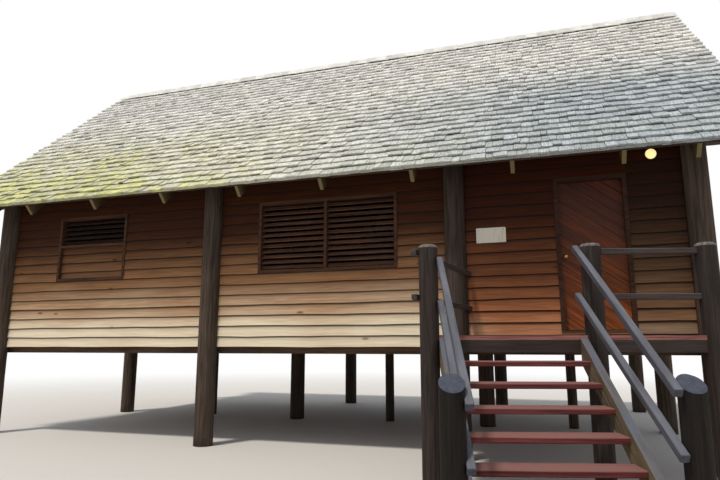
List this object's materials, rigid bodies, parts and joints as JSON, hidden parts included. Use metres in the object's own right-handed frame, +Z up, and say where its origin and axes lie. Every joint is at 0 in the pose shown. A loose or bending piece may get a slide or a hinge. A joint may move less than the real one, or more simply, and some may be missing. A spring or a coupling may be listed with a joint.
{
  "type": "stilt house",
  "caption": "Timber stilt house on round poles with weatherboard walls, louvred windows, a gabled shake roof, a railed entry deck and an open stair.",
  "frame": {"origin": "on the ground, at the centre of the foot of the first front pole, at the left end of the front", "axes": "+X along the front to the right, +Y from the front into the house, +Z up"},
  "size_m": [12.67, 11.8795, 7.7905],
  "materials": {
    "pole_timber": "weathered dark stain",
    "floor_timber": "sawn",
    "wall_boards": "oiled weatherboard",
    "window_timber": "oiled",
    "louvre_timber": "oiled",
    "panel_timber": "oiled",
    "door_timber": "oiled",
    "roof_timber": "sawn",
    "roof_shakes": "weathered split shakes",
    "deck_timber": "stained",
    "tread_timber": "stained",
    "rail_timber": "weathered",
    "knob_brass": "satin",
    "hinge_steel": "satin",
    "sign_enamel": "enamel",
    "light_metal": "satin",
    "light_glass": "opal"
  },
  "bodies": {
    "house": {"front_poles": "pole_timber", "ridge_poles": "pole_timber", "back_poles": "pole_timber", "floor_stumps": "pole_timber", "bearers": "floor_timber", "rim_joists": "floor_timber", "floor_joists": "floor_timber", "floor_boards": "floor_timber", "front_wall_a": "wall_boards", "front_wall_b": "wall_boards", "front_wall_c_left": "wall_boards", "front_wall_c_right": "wall_boards", "front_wall_over_door": "wall_boards", "left_gable_wall": "wall_boards", "right_gable_wall": "wall_boards", "back_wall_a": "wall_boards", "back_wall_b": "wall_boards", "back_wall_c": "wall_boards", "window_a_frame": "window_timber", "window_a_louvres": "louvre_timber", "window_a_panel": "panel_timber", "window_b_frame": "window_timber", "window_b_louvres": "louvre_timber", "back_window_frames": "window_timber", "back_window_louvres": "louvre_timber", "back_window_panel": "panel_timber", "door_frame": "window_timber", "door_sill": "floor_timber", "door_hinge_pins": "hinge_steel", "number_plate": "sign_enamel", "porch_light_base": "light_metal", "porch_light_globe": "light_glass", "top_plates": "roof_timber", "ridge_beam": "roof_timber", "front_rafters": "roof_timber", "back_rafters": "roof_timber", "roof_front": "roof_shakes", "roof_back": "roof_shakes", "ridge_cap": "roof_shakes", "barge_boards": "roof_timber", "newel_posts": "pole_timber", "deck_frame": "deck_timber", "deck_boards": "deck_timber", "deck_rails": "rail_timber", "stair_stringers": "floor_timber", "stair_treads": "tread_timber", "stair_rails": "rail_timber"},
    "door": {"entry_door": "door_timber", "door_knobs": "knob_brass", "door_hinge_plates": "hinge_steel"}
  },
  "joints": [
    {"name": "door_hinge", "type": "hinge", "parent": "house", "child": "door", "pos_m": [10.3025, 0.157, 2.66], "axis": [0, 0, -1], "range_deg": [0, 95]}
  ]
}
